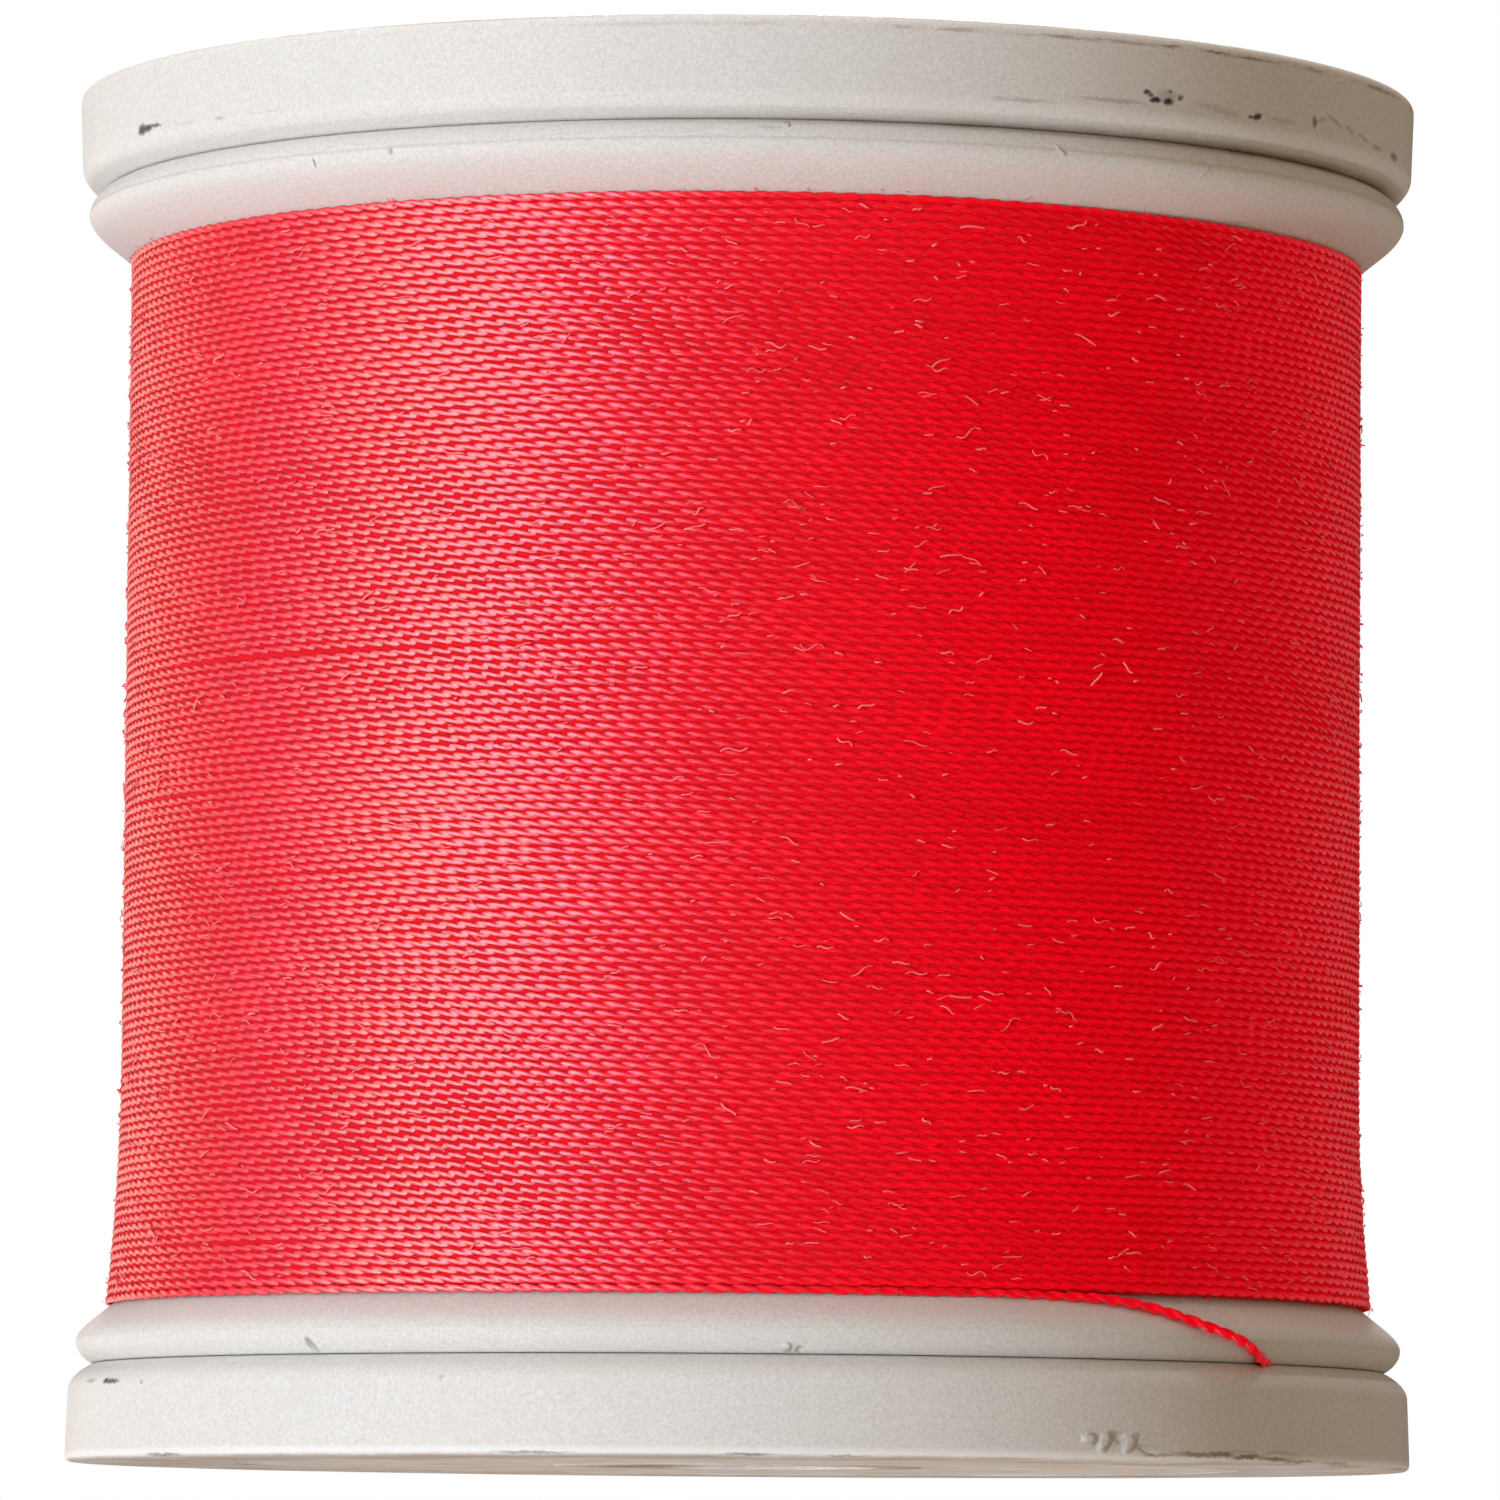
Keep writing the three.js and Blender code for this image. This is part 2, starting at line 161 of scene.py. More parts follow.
def ramp(tree, value, low, high, to_low=0.0, to_high=1.0):
    """A smooth step from to_low at low to to_high at high."""
    inputs = {"Value": value, "From Min": low, "From Max": high, "To Min": to_low, "To Max": to_high}
    return put(tree, "ShaderNodeMapRange", inputs, interpolation_type="SMOOTHSTEP").outputs[0]


def mix(tree, share, first, second):
    """The result of a colour Mix node."""
    return put(tree, "ShaderNodeMix", {0: share, 6: first, 7: second}, data_type="RGBA").outputs[2]


def layered(tree, base, *layers):
    """A colour under layers of (share, colour)."""
    for share, colour in layers:
        base = mix(tree, share, base, colour)
    return base


def noise(tree, vector, scale, detail=3.0, roughness=0.55, distortion=0.0):
    inputs = {"Vector": vector, "Scale": scale, "Detail": detail, "Roughness": roughness}
    inputs["Distortion"] = distortion
    return put(tree, "ShaderNodeTexNoise", inputs).outputs["Fac"]


def stretched(tree, places, scale, degrees=0):
    """Places turned and scaled, so that a texture on them runs one way."""
    inputs = {"Vector": places, "Rotation": (0, 0, math.radians(degrees)), "Scale": scale}
    return put(tree, "ShaderNodeMapping", inputs).outputs[0]


def new_group(name):
    return bpy.data.node_groups.new(name, "ShaderNodeTree")


def give(tree, **results):
    """Makes results the outputs of a node group, named with spaces for underscores."""
    for key in results:
        kind = "NodeSocketColor" if key == "Base_Color" else "NodeSocketFloat"
        tree.interface.new_socket(key.replace("_", " "), in_out="OUTPUT", socket_type=kind)
    out = tree.nodes.new("NodeGroupOutput")
    for key, result in results.items():
        tree.links.new(result, out.inputs[key.replace("_", " ")])
    return tree


def unrolled(tree):
    """Places on a piece in millimetres: as they are, unrolled round the axis, the radius and the height."""
    place = put(tree, "ShaderNodeTexCoord").outputs["Object"]
    inputs = {0: place, "Scale": 1 / MM}
    place = put(tree, "ShaderNodeVectorMath", inputs, operation="SCALE").outputs[0]
    x, y, z = put(tree, "ShaderNodeSeparateXYZ", {0: place}).outputs
    round_way = product(tree, calc(tree, "ARCTAN2", y, x), RIM)
    radius = calc(tree, "SQRT", calc(tree, "ADD", product(tree, x, x), product(tree, y, y)))
    flat = put(tree, "ShaderNodeCombineXYZ", {0: round_way, 1: z}).outputs[0]
    return place, flat, radius, z


def material(name, tree=None, **constants):
    """A Principled material. What a group gives varies over the surface, the rest are constants."""
    made = bpy.data.materials.new(name)
    made.use_nodes = True
    links = made.node_tree.links
    shader = made.node_tree.nodes["Principled BSDF"]
    for key, value in constants.items():
        shader.inputs[key.replace("_", " ")].default_value = value
    if tree:
        look = put(made.node_tree, "ShaderNodeGroup", node_tree=tree)
        for out in look.outputs:
            if out.name != "Height":
                links.new(out, shader.inputs[out.name])
        inputs = {"Height": look.outputs["Height"], "Distance": MM, "Strength": 1.0}
        bump = put(made.node_tree, "ShaderNodeBump", inputs)
        links.new(bump.outputs[0], shader.inputs["Normal"])
    return made


# Marks on the plastic, at the front as in the photograph: angle in degrees, height, half length,
# half height, tilt in degrees and strength
DARK_MARKS = [
    (-152.6, 49.42, 0.4, 0.22, 0, 0.95), (-151.5, 49.43, 0.5, 0.15, 0, 0.95),
    (-150.2, 49.45, 0.55, 0.08, 0, 0.8), (-52.9, 49.8, 0.5, 0.3, 0, 0.3),
    (-43.2, 49.45, 0.2, 0.08, 0, 0.8), (-55.0, 49.88, 0.2, 0.09, 0, 0.9),
    (-54.1, 49.62, 0.3, 0.13, 10, 1.0), (-52.8, 49.62, 0.28, 0.17, 0, 1.0),
    (-52.6, 49.98, 0.13, 0.08, 0, 0.8), (-51.5, 49.8, 0.17, 0.12, 30, 0.8),
    (-54.6, 49.78, 0.16, 0.1, 0, 0.8), (-42.4, 49.5, 0.3, 0.15, 15, 0.95),
    (-34.2, 49.72, 0.18, 0.24, 10, 0.7), (-33.0, 49.86, 0.4, 0.12, 14, 0.26),
    (-30.8, 49.93, 0.7, 0.1, -15, 0.32), (-28.0, 49.74, 0.5, 0.14, -18, 0.28),
    (-25.0, 49.58, 0.6, 0.1, -12, 0.3), (-21.7, 49.43, 0.6, 0.12, 0, 0.35),
    (-16.4, 49.38, 0.6, 0.18, 0, 0.6), (-47.2, 49.55, 1.4, 0.14, -6, 0.22),
    (-58.5, 49.45, 1.6, 0.1, 0, 0.3), (-66.5, 49.2, 1.2, 0.08, 0, 0.25),
    (-39.0, 49.52, 0.9, 0.12, 0, 0.2), (-145.0, 49.3, 0.9, 0.05, 0, 0.12),
    (-140.0, 49.26, 0.3, 0.07, 0, 0.3), (-134.0, 49.25, 0.9, 0.04, 0, 0.12),
    (-162.0, 2.93, 0.7, 0.1, 0, 0.4), (-156.2, 2.86, 0.85, 0.11, 0, 0.9),
    (-157.6, 2.88, 0.3, 0.13, 0, 1.0), (-150.0, 2.8, 0.14, 0.08, 0, 0.4),
    (-128.4, 4.06, 0.2, 0.3, 25, 0.3), (-121.1, 47.42, 0.1, 0.16, 0, 0.4),
    (-129.2, 47.22, 0.06, 0.2, 10, 0.6), (-69.0, 49.2, 0.3, 0.1, 0, 0.2),
    (-52.5, 51.66, 0.5, 0.05, 0, 0.5), (-47.5, 51.64, 1.0, 0.05, 0, 0.5),
    (-43.0, 51.6, 1.5, 0.05, 0, 0.5), (-114.8, 2.8, 0.1, 0.14, 0, 0.2), (-89.0, 0.1, 1.0, 0.06, 0, 0.6),
    (-81.0, 0.06, 0.9, 0.04, 0, 0.4), (-146.0, 0.1, 1.3, 0.07, 0, 0.6),
    (-107.0, 0.12, 1.5, 0.06, 0, 0.5), (96.0, 49.9, 0.3, 0.12, 10, 0.8),
    (99.5, 49.8, 0.16, 0.1, 0, 0.7), (31.0, 50.3, 0.4, 0.08, 20, 0.4), (58.0, 2.6, 0.5, 0.08, 0, 0.6),
    (141.0, 2.1, 0.22, 0.12, 30, 0.7),
]
# The same for the lower cap's frayed brown edge
BROWN_MARKS = [
    (-53.0, 0.26, 1.1, 0.06, 0, 0.5), (-49.0, 0.3, 1.2, 0.1, -2, 0.8), (-46.4, 0.34, 0.8, 0.11, 0, 0.9),
    (-43.2, 0.26, 1.0, 0.1, 3, 0.9), (-40.0, 0.2, 1.0, 0.07, 0, 0.7), (-36.0, 0.14, 1.3, 0.07, 0, 0.7),
    (-30.0, 0.12, 1.2, 0.06, 0, 0.6), (-88.0, 47.95, 0.5, 0.06, 0, 0.3),
]
# The same for bumps and, with a negative strength, dents
DENTS = [
    (-60.0, 0.8, 0.35, 0.22, 0, 1.0), (-58.6, 0.7, 0.26, 0.42, -35, 1.0),
    (-57.3, 0.88, 0.3, 0.2, 0, -1.0), (-56.1, 0.68, 0.24, 0.42, -40, 1.0),
    (-54.6, 0.45, 0.5, 0.12, -20, -0.9), (-85.9, 3.96, 0.16, 0.16, 0, 1.0),
    (-84.8, 3.87, 0.16, 0.1, 0, -0.8), (-39.4, 4.0, 0.2, 0.14, 0, 1.0),
    (-86.7, 48.05, 0.14, 0.12, 0, 0.8), (-43.5, 48.18, 0.2, 0.12, 20, 0.6),
    (-128.4, 4.0, 0.14, 0.3, 30, -0.8), (-38.5, 0.34, 1.1, 0.14, 0, -0.7),
    (-44.0, 0.36, 1.0, 0.12, 0, 0.6), (-63.0, 47.5, 0.3, 0.1, -40, 0.5),
    (-47.8, 47.26, 0.3, 0.1, 40, 0.5), (128.0, 1.2, 0.5, 0.25, 20, -0.8),
    (24.0, 1.0, 0.3, 0.2, -20, 0.7), (70.0, 50.8, 0.4, 0.2, 30, -0.7),
]
# The same for specks of dirt on the thread
THREAD_MARKS = [
    (-124.5, 29.45, 0.05, 0.22, 15, 0.8), (-123.9, 29.6, 0.05, 0.2, -10, 0.9),
    (-123.2, 29.5, 0.05, 0.24, 5, 0.8), (-122.2, 29.55, 0.04, 0.12, 20, 0.7),
    (-125.2, 29.7, 0.06, 0.08, 0, 0.6), (62.0, 24.0, 0.06, 0.16, 25, 0.7),
]


def blots(tree, flat, marks):
    """The strongest of the marks at a place: 0 to 1, and 0 to -1 for those with a negative strength."""
    high = low = 0.0
    for angle, z, half_length, half_height, tilt, strength in marks:
        inputs = {
            "Vector": flat,
            "Location": (math.radians(angle) * RIM, z, 0),
            "Rotation": (0, 0, math.radians(tilt)),
            "Scale": (half_length, half_height, 1),
        }
        local = put(tree, "ShaderNodeMapping", inputs, vector_type="TEXTURE").outputs[0]
        away = vector_calc(tree, "LENGTH", local, output="Value")
        blot = ramp(tree, away, 1.3, 0.4, 0, strength)
        if strength > 0:
            high = calc(tree, "MAXIMUM", high, blot)
        else:
            low = calc(tree, "MINIMUM", low, blot)
    return high, low


def shaken(tree, flat, scale, amount):
    """The same places moved a little, so that outlines on them become ragged."""
    jitter = put(tree, "ShaderNodeTexNoise", {"Vector": flat, "Scale": scale, "Detail": 2.0}).outputs["Color"]
    jitter = vector_calc(tree, "SUBTRACT", jitter, (0.5, 0.5, 0.5))
    return vector_calc(tree, "ADD", flat, vector_calc(tree, "MULTIPLY", jitter, (amount, amount, 0)))


def line_at(tree, value, middle, half_width):
    """1 on a line where the value has its middle, falling to 0 beside it."""
    away = calc(tree, "ABSOLUTE", calc(tree, "SUBTRACT", value, middle))
    return ramp(tree, away, half_width, 0.2 * half_width)


# Colours of the plastic, of what lies on it, and of its painted shade and highlight
IVORY, IVORY_SPECKLE, IVORY_CLOUD = (0.85, 0.835, 0.815, 1), (0.72, 0.703, 0.68, 1), (0.75, 0.735, 0.70, 1)
# A pale scuff colour that is partly a painted highlight
SCUFF_AND_HIGHLIGHT = (0.88, 0.88, 0.885, 1)
HANDLED = (0.60, 0.49, 0.435, 1)
# A brown painted shade for the upper groove and beside the bead's crest
GROOVE_SHADE = (0.34, 0.26, 0.18, 1)
# Brown grime on worn edges, partly painted shade
EDGE_GRIME_AND_SHADE = (0.35, 0.27, 0.21, 1)
FRAYED = (0.33, 0.24, 0.18, 1)
DARK_MARK = (0.06, 0.055, 0.06, 1)
GRAIN_HEIGHT, DENT_HEIGHT, WEAR_DEPTH, PARTING_HEIGHT = 0.013, 0.17, 0.03, 0.02
GROOVE_Z = 3.71  # of its painted shade line, from the nearer end
# The way to the side away from the key light, where marks are darkened as painted shade
SHADED_WAY = (0.87, -0.5, 0)


def stains(tree, place):
    """The pattern in which hands and shelves have browned the end faces."""
    return noise(tree, place, 0.22, 5, 0.62)


def plastic_marks(tree, flat, from_end):
    """Dark and brown marks, which would run on across the end faces if they weren't kept off them."""
    off_end_face = ramp(tree, from_end, 0.005, 0.04)
    for marks in (DARK_MARKS, BROWN_MARKS):
        shown, _ = blots(tree, shaken(tree, flat, 5.0, 0.2), marks)
        yield product(tree, shown, off_end_face)


def plastic_look():
    tree = new_group("plastic_look")
    place, flat, radius, z = unrolled(tree)
    grain = noise(tree, place, 6.5, 4, 0.65)
    fine = noise(tree, place, 14, 2, 0.6)
    cloud = noise(tree, place, 0.35, 3, 0.6)
    streaks = noise(tree, stretched(tree, flat, (0.35, 1.6, 1)), 1.0, 5, 0.7)
    fine_streaks = noise(tree, stretched(tree, flat, (1.1, 6.0, 1)), 1.0, 4, 0.7)
    from_end = calc(tree, "MINIMUM", z, calc(tree, "SUBTRACT", HEIGHT, z))
    ragged = calc(tree, "ADD", from_end, calc(tree, "MULTIPLY_ADD", fine_streaks, 0.2, -0.1))
    upper = ramp(tree, z, 20, 30)
    dark, brown = plastic_marks(tree, flat, from_end)
    raised, sunk = blots(tree, shaken(tree, flat, 3.0, 0.15), DENTS)
    # Painted shade: marks are darker on the side away from the key light
    sideways = vector_calc(tree, "DOT_PRODUCT", place, SHADED_WAY, output="Value")
    shaded_side = ramp(tree, sideways, 0.1 * RIM, 0.95 * RIM, 0.06, 1.0)
    # Worn edges of the end faces: a brown line on the very edge and a broken one where its rounding begins.
    # Both are partly painted shade: darker at the upper end, and the broken one only there and strongest on
    # the side away from the key light
    edge_line = product(tree, ramp(tree, ragged, 0.1, 0.02), ramp(tree, fine_streaks, 0.35, 0.65, 0.15, 0.7))
    broken = product(tree, line_at(tree, ragged, 0.38, 0.1), ramp(tree, streaks, 0.42, 0.62))
    inner_line = product(tree, broken, product(tree, upper, shaded_side))
    wear_and_shade = product(tree, calc(tree, "MAXIMUM", edge_line, inner_line), ramp(tree, radius, 24.9, 25.25))
    grime_and_shade = product(tree, wear_and_shade, ramp(tree, upper, 0, 1, 0.4, 0.75))
    # A pale scuffed line round the lower edge's rounding, partly a painted highlight where that edge catches
    # light from below
    scuff_and_highlight = product(tree, line_at(tree, ragged, 0.24, 0.2), ramp(tree, upper, 0.8, 0.2, 0, 0.8))
    # Painted shade: a brown line in the upper groove, strongest on the side away from the key light, and a
    # thin dark line beside the upper bead's crest
    groove = product(tree, line_at(tree, from_end, GROOVE_Z, 0.3), ramp(tree, streaks, 0.3, 0.7, 0.35, 0.75))
    groove = product(tree, groove, shaded_side, upper)
    # Painted shade: a thin dark line on the groove side of the upper bead's crest
    crest_shade = line_at(tree, ragged, BEAD_Z - 0.12, 0.07)
    crest_shade = product(tree, crest_shade, ramp(tree, upper, 0, 1, 0.0, 0.16))
    # The end faces are browned, the lower one more
    at_bore = product(tree, ramp(tree, radius, 8, 7), ramp(tree, from_end, 1.4, 0.6))
    at_bore = product(tree, at_bore, ramp(tree, upper, 0, 1, 0.8, 0.3))
    end_face = calc(tree, "MAXIMUM", ramp(tree, from_end, 0.14, 0.04), at_bore)
    stained = calc(tree, "ADD", stains(tree, place), product(tree, upper, -0.13))
    end_face = product(tree, end_face, ramp(tree, stained, 0.36, 0.66, 0.12, 1))
    speckle = product(tree, calc(tree, "ADD", grain, fine), 0.5)
    base = layered(
        tree, mix(tree, ramp(tree, speckle, 0.38, 0.62), IVORY, IVORY_SPECKLE),
        (ramp(tree, cloud, 0.45, 0.75, 0, 0.35), IVORY_CLOUD), (scuff_and_highlight, SCUFF_AND_HIGHLIGHT), (end_face, HANDLED),
        (calc(tree, "MAXIMUM", groove, crest_shade), GROOVE_SHADE), (grime_and_shade, EDGE_GRIME_AND_SHADE), (brown, FRAYED),
        (dark, DARK_MARK),
    )
    rough = calc(tree, "MULTIPLY_ADD", grain, 0.16, 0.46)
    rough = calc(tree, "ADD", rough, product(tree, wear_and_shade, 0.15), clamp=True)
    height = product(tree, calc(tree, "ADD", grain, product(tree, fine, 0.5)), GRAIN_HEIGHT)
    height = calc(tree, "ADD", height, product(tree, calc(tree, "ADD", raised, sunk), DENT_HEIGHT))
    height = calc(tree, "ADD", height, product(tree, line_at(tree, ragged, BEAD_Z, 0.14), PARTING_HEIGHT))
    height = calc(tree, "SUBTRACT", height, product(tree, wear_and_shade, WEAR_DEPTH))
    return give(tree, Base_Color=base, Roughness=rough, Height=height)


# Colours of the thread, from the fibres' shade to the specks of dirt
RED_DEEP, RED_BRIGHT = (0.84, 0.0005, 0.011, 1), (0.92, 0.001, 0.018, 1)
RED_BANDS, RED_PATCHES = (0.78, 0.0005, 0.010, 1), (0.92, 0.0015, 0.020, 1)
SPECK = (0.16, 0.0, 0.012, 1)
FIBRE_TILT = 24  # degrees, down to the right along the plies
FIBRE_HEIGHT = 0.012


def thread_look():
    tree = new_group("thread_look")
    place, flat, _, _ = unrolled(tree)
    fibres = noise(tree, stretched(tree, flat, (3, 26, 1), FIBRE_TILT), 1.0, 3, 0.65)
    bands = noise(tree, stretched(tree, flat, (0.012, 0.9, 1)), 1.0, 4, 0.6)
    patch = noise(tree, place, 0.22, 2, 0.5)
    specks, _ = blots(tree, shaken(tree, flat, 9.0, 0.15), THREAD_MARKS)
    base = layered(
        tree, mix(tree, ramp(tree, fibres, 0.3, 0.7), RED_DEEP, RED_BRIGHT),
        (ramp(tree, bands, 0.4, 0.7, 0, 0.35), RED_BANDS),
        (ramp(tree, patch, 0.45, 0.7, 0, 0.25), RED_PATCHES), (specks, SPECK),
    )
    rough = calc(tree, "MULTIPLY_ADD", fibres, 0.16, 0.31)
    return give(tree, Base_Color=base, Roughness=rough, Height=product(tree, fibres, FIBRE_HEIGHT))


PAPER_WHITE, PAPER_CREAM = (0.88, 0.86, 0.80, 1), (0.80, 0.775, 0.71, 1)
PAPER_AGED, PAPER_EDGE, PAPER_BROWN = (0.74, 0.69, 0.58, 1), (0.72, 0.66, 0.55, 1), (0.62, 0.51, 0.45, 1)
PAPER_HEIGHT = 0.03


def paper_look():
    tree = new_group("paper_look")
    place, _, radius, z = unrolled(tree)
    fibres = noise(tree, place, 5, 5, 0.7, 1.2)
    cloud = noise(tree, place, 0.3, 3, 0.6)
    # The lower label has been on shelves and is browner
    brown = product(tree, ramp(tree, z, 30, 20), ramp(tree, stains(tree, place), 0.36, 0.66, 0.25, 0.8))
    base = layered(
        tree, mix(tree, fibres, PAPER_CREAM, PAPER_WHITE), (ramp(tree, cloud, 0.5, 0.8, 0, 0.5), PAPER_AGED),
        (ramp(tree, radius, 17.6, 18.8, 0, 0.5), PAPER_EDGE), (brown, PAPER_BROWN),
    )
    return give(tree, Base_Color=base, Height=product(tree, fibres, PAPER_HEIGHT))


PLASTIC = material(
    "ivory_plastic", plastic_look(), Specular_IOR_Level=0.2, Subsurface_Weight=0.7, Subsurface_Scale=0.5 * MM,
    Subsurface_Radius=(1.0, 0.8, 0.65),
)
PAPER = material("bare_paper", paper_look(), Roughness=0.9)
# Red light scatters inside the fibres, which fills the lines between the turns
GLOW = {"Subsurface_Weight": 1.0, "Subsurface_Radius": (1.0, 0.05, 0.1), "Subsurface_Scale": 0.2 * MM}
THREAD = material(
    "red_thread", thread_look(), Specular_IOR_Level=0.9, Specular_Tint=(1, 0.9, 0.92, 1), **GLOW,
)
DEEP_THREAD = material(
    "deep_red_thread", Base_Color=(0.82, 0.0005, 0.010, 1), Roughness=0.9, Specular_IOR_Level=0.15, **GLOW,
)
FUZZ = material("thread_fuzz", Base_Color=(1.0, 0.2, 0.23, 1), Roughness=0.6, Specular_IOR_Level=0.4)
for scattering in (PLASTIC, THREAD, DEEP_THREAD):
    scattering.node_tree.nodes["Principled BSDF"].subsurface_method = "BURLEY"

# Mesh helpers


def piece(name, parts, look, body, nodes, uv=None):
    """An object from (points, faces) parts, which rides on a body and stands for CAD nodes."""
    points = np.concatenate([p for p, _ in parts]) * MM
    faces, start = [], 0
    for p, f in parts:
        faces += [[start + i for i in face] for face in f] if isinstance(f, list) else (f + start).tolist()
        start += len(p)
    mesh = bpy.data.meshes.new(name)
    mesh.from_pydata(points.tolist(), [], faces)
    mesh.shade_smooth()
    if uv is not None:
        mesh.uv_layers.new(name="OFBake").data.foreach_set("uv", uv.astype(np.float32).ravel())
    mesh.materials.append(look)
    made = bpy.data.objects.new(name, mesh)
    bpy.context.scene.collection.objects.link(made)
    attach(made, body)
    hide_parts(*nodes)
    return made


def weighted(made):
    """Keeps flat faces flat beside rounded edges."""
    made.modifiers.new("normals", "WEIGHTED_NORMAL").keep_sharp = True
    return made


def curve(start, control, end, steps=12):
    t = np.linspace(0, 1, steps + 1)[:, None]
    start, control, end = map(np.array, (start, control, end))
    return [*((1 - t) ** 2 * start + 2 * t * (1 - t) * control + t**2 * end)]


def eased(corners, steps=5):
    """A closed outline through (r, z, easing) corners, each rounded over its easing."""
    path = []
    for i, (r, z, ease) in enumerate(corners):
        here = np.array((r, z))
        if not ease:
            path.append(here)
            continue
        before, after = np.array(corners[i - 1][:2]), np.array(corners[(i + 1) % len(corners)][:2])
        start = here + ease * (before - here) / np.linalg.norm(before - here)
        end = here + ease * (after - here) / np.linalg.norm(after - here)
        path += curve(start, here, end, steps)
    return path


def lathe(outline, steps=224, start=0.0, sweep=360.0):
    """A closed solid that a closed outline sweeps round the axis, counterclockwise in (r, z)."""
    outline = np.array(outline, float)
    rings = steps if sweep == 360 else steps + 1
    angles = np.radians(start + sweep * np.arange(rings) / steps)
    r, z = outline[:, :1], outline[:, 1:]
    points = np.stack([r * np.cos(angles), r * np.sin(angles), z + 0 * angles], -1).reshape(-1, 3)
    i, j = np.meshgrid(np.arange(len(outline)), np.arange(steps), indexing="ij")
    i_next, j_next = (i + 1) % len(outline), (j + 1) % rings
    corners = (i * rings + j, i * rings + j_next, i_next * rings + j_next, i_next * rings + j)
    faces = np.stack(corners, -1).reshape(-1, 4).tolist()
    if sweep != 360:
        column = [k * rings for k in range(len(outline))]
        faces += [column, [k + steps for k in reversed(column)]]
    return points, faces


def turned_over(part):
    """The same part at the upper end."""
    points, faces = part
    return points * (1, -1, -1) + (0, 0, HEIGHT), faces


# Plastic pieces


def cap_parts():
    chamfer = 0.6
    shoulder = curve((SHOULDER, SHOULDER_Z), (SHOULDER, SHOULDER_Z + 0.5), (GROOVE, CAP_LIP), 14)
    rounded = [
        (BORE + chamfer, 0, 0.15), (LABEL_HOLE, 0, 0.06), (LABEL_HOLE, LABEL_RECESS, 0),
        (LABEL_RADIUS, LABEL_RECESS, 0), (LABEL_RADIUS, 0, 0.08), (RIM, 0, 0.3), (SHOULDER, SHOULDER_Z, 0),
    ]
    inside = [
        (LIP_OUTER, CAP_LIP, 0), (LIP_INNER, CAP_LIP, 0), (LIP_INNER - LIP_SLOPE, CAP_TOP, 0),
        (LAND_INNER, CAP_TOP, 0), (LAND_INNER, CAP_POCKET, 0), (BARREL + SLIDING_GAP, CAP_POCKET, 0),
        (BARREL + SLIDING_GAP, CAP_TOP, 0), (BORE, CAP_TOP, 0), (BORE, chamfer, 0.15),
    ]
    # Fingers that reach into the barrel and end in a barb
    root, barb, tip = 3, 11.1, 12.5
    finger = [
        (FINGER_INNER, root), (FINGER_OUTER, root), (FINGER_OUTER, barb), (BARB, barb), (BARB, barb + 0.5),
        (FINGER_OUTER, tip), (FINGER_INNER, tip),
    ]
    spacing = 360 / FINGER_COUNT
    start = (spacing - FINGER_SWEEP) / 2
    fingers = [lathe(finger, 16, spacing * k + start, FINGER_SWEEP) for k in range(FINGER_COUNT)]
    return [lathe(eased(rounded) + shoulder[1:-1] + eased(inside)), *fingers]


def flange_parts():
    turn_z = FLANK_Z - (BEAD - GROOVE) / FLANK_SLOPE
    bead = curve((GROOVE, FLANGE_LIP), (BEAD, BEAD_Z - 0.5), (BEAD, BEAD_Z), 12)
    bead += curve((BEAD, BEAD_Z), (BEAD, turn_z), (GROOVE, FLANK_Z), 12)[1:]
    pocket_inner = 14.4
    path = [
        (FLANGE_BORE, FLANGE_LOW), (pocket_inner, FLANGE_LOW), (pocket_inner, FLANGE_POCKET),
        (LAND_INNER, FLANGE_POCKET), (LAND_INNER, FLANGE_LOW), (LIP_INNER - LIP_SLOPE, FLANGE_LOW),
        (LIP_INNER, FLANGE_LIP), (LIP_OUTER, FLANGE_LIP), *bead, (FLANK_END, FLANGE_HIGH),
        (FLANGE_BORE, FLANGE_HIGH),
    ]
    return [lathe(path)]


def barrel_parts():
    low, high = FLANGE_LOW, HEIGHT - FLANGE_LOW
    shoulder = FLANGE_HIGH + SEAT_GAP
    path = [
        (BARREL_INNER, low), (SEAT, low), (SEAT, shoulder), (BARREL, shoulder), (BARREL, HEIGHT - shoulder),
        (SEAT, HEIGHT - shoulder), (SEAT, high), (BARREL_INNER, high),
    ]
    # Grooves inside that the caps' barbs catch in
    catch, catch_low, catch_high = 12.0, 9.04, 12.8
    for first, second in ((HEIGHT - catch_low, HEIGHT - catch_high), (catch_high, catch_low)):
        path += [(BARREL_INNER, first), (catch, first), (catch, second), (BARREL_INNER, second)]
    ease = 0.15
    tube = eased([(BORE, low, ease), (TUBE, low, ease), (TUBE, high, ease), (BORE, high, ease)])
    box = [[0, 1, 3, 2], [4, 6, 7, 5], [0, 4, 5, 1], [2, 3, 7, 6], [0, 2, 6, 4], [1, 5, 7, 3]]
    ribs = []
    for k in range(RIB_COUNT):
        ends = (RIB_INNER, RIB_OUTER), (-RIB_HALF, RIB_HALF), (low, high)
        x, y, z = np.meshgrid(*ends, indexing="ij")
        turn = 2 * math.pi / RIB_COUNT * k
        x, y = x * math.cos(turn) - y * math.sin(turn), x * math.sin(turn) + y * math.cos(turn)
        ribs.append((np.stack([x, y, z], -1).reshape(-1, 3), box))
    return [lathe(path, steps=128), lathe(tube, steps=128), *ribs]


def label_parts():
    margin, ease = 0.1, 0.03
    inner, outer, low, high = LABEL_HOLE + margin, LABEL_RADIUS - margin, 0.03, 0.34
    path = eased([(inner, low, ease), (outer, low, ease), (outer, high, ease), (inner, high, ease)], 2)
    return [lathe(path)]


